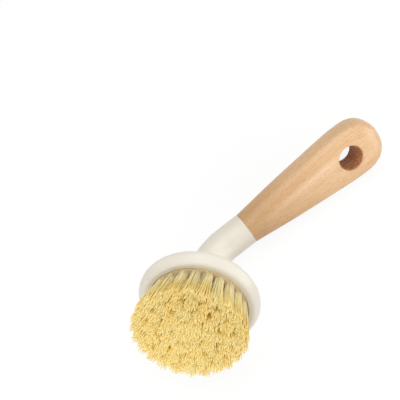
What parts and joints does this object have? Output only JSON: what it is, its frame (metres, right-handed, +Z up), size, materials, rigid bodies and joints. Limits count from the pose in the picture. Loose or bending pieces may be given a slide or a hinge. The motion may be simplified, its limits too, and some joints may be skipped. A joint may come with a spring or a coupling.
{
  "type": "dish brush",
  "caption": "Short dish brush: beech handle with a hanging hole, cream plastic elbow neck and round cap, and a push-in beech head of flared plant-fibre tufts.",
  "frame": {"origin": "middle of the brush's bounding box in plan, on the table that it lies on", "axes": "+Z up from the table; +X level, along the handle towards its hanging end; the bristles point up and away, towards -X and -Y. The brush lies on its side on the handle, the elbow and the cap's rim, as in the picture."},
  "size_m": [0.2066, 0.0896, 0.0797],
  "materials": {
    "beech_wood": "satin",
    "block_wood": "matte",
    "cream_plastic": "satin",
    "tampico_fibre": "matte",
    "staple_wire": "satin"
  },
  "bodies": {
    "holder": {"handle": "beech_wood", "head_shell": "cream_plastic"},
    "push_in_head": {"brush_block": "block_wood", "staples": "staple_wire", "tuft_ring0_01": "tampico_fibre", "tuft_ring1_01": "tampico_fibre", "tuft_ring1_02": "tampico_fibre", "tuft_ring1_03": "tampico_fibre", "tuft_ring1_04": "tampico_fibre", "tuft_ring1_05": "tampico_fibre", "tuft_ring2_01": "tampico_fibre", "tuft_ring2_02": "tampico_fibre", "tuft_ring2_03": "tampico_fibre", "tuft_ring2_04": "tampico_fibre", "tuft_ring2_05": "tampico_fibre", "tuft_ring2_06": "tampico_fibre", "tuft_ring2_07": "tampico_fibre", "tuft_ring2_08": "tampico_fibre", "tuft_ring2_09": "tampico_fibre", "tuft_ring2_10": "tampico_fibre", "tuft_ring3_01": "tampico_fibre", "tuft_ring3_02": "tampico_fibre", "tuft_ring3_03": "tampico_fibre", "tuft_ring3_04": "tampico_fibre", "tuft_ring3_05": "tampico_fibre", "tuft_ring3_06": "tampico_fibre", "tuft_ring3_07": "tampico_fibre", "tuft_ring3_08": "tampico_fibre", "tuft_ring3_09": "tampico_fibre", "tuft_ring3_10": "tampico_fibre", "tuft_ring3_11": "tampico_fibre", "tuft_ring3_12": "tampico_fibre", "tuft_ring3_13": "tampico_fibre", "tuft_ring3_14": "tampico_fibre", "tuft_ring3_15": "tampico_fibre", "tuft_ring3_16": "tampico_fibre", "tuft_ring4_01": "tampico_fibre", "tuft_ring4_02": "tampico_fibre", "tuft_ring4_03": "tampico_fibre", "tuft_ring4_04": "tampico_fibre", "tuft_ring4_05": "tampico_fibre", "tuft_ring4_06": "tampico_fibre", "tuft_ring4_07": "tampico_fibre", "tuft_ring4_08": "tampico_fibre", "tuft_ring4_09": "tampico_fibre", "tuft_ring4_10": "tampico_fibre", "tuft_ring4_11": "tampico_fibre", "tuft_ring4_12": "tampico_fibre", "tuft_ring4_13": "tampico_fibre", "tuft_ring4_14": "tampico_fibre", "tuft_ring4_15": "tampico_fibre", "tuft_ring4_16": "tampico_fibre", "tuft_ring4_17": "tampico_fibre", "tuft_ring4_18": "tampico_fibre", "tuft_ring4_19": "tampico_fibre", "tuft_ring4_20": "tampico_fibre", "tuft_ring4_21": "tampico_fibre", "tuft_ring4_22": "tampico_fibre", "tuft_ring4_23": "tampico_fibre", "tuft_ring4_24": "tampico_fibre"}
  },
  "joints": [
    {"name": "head_slide", "type": "slide", "parent": "holder", "child": "push_in_head", "axis": [-0.5632, -0.6126, 0.5545], "range_m": [0, 0.012]}
  ]
}
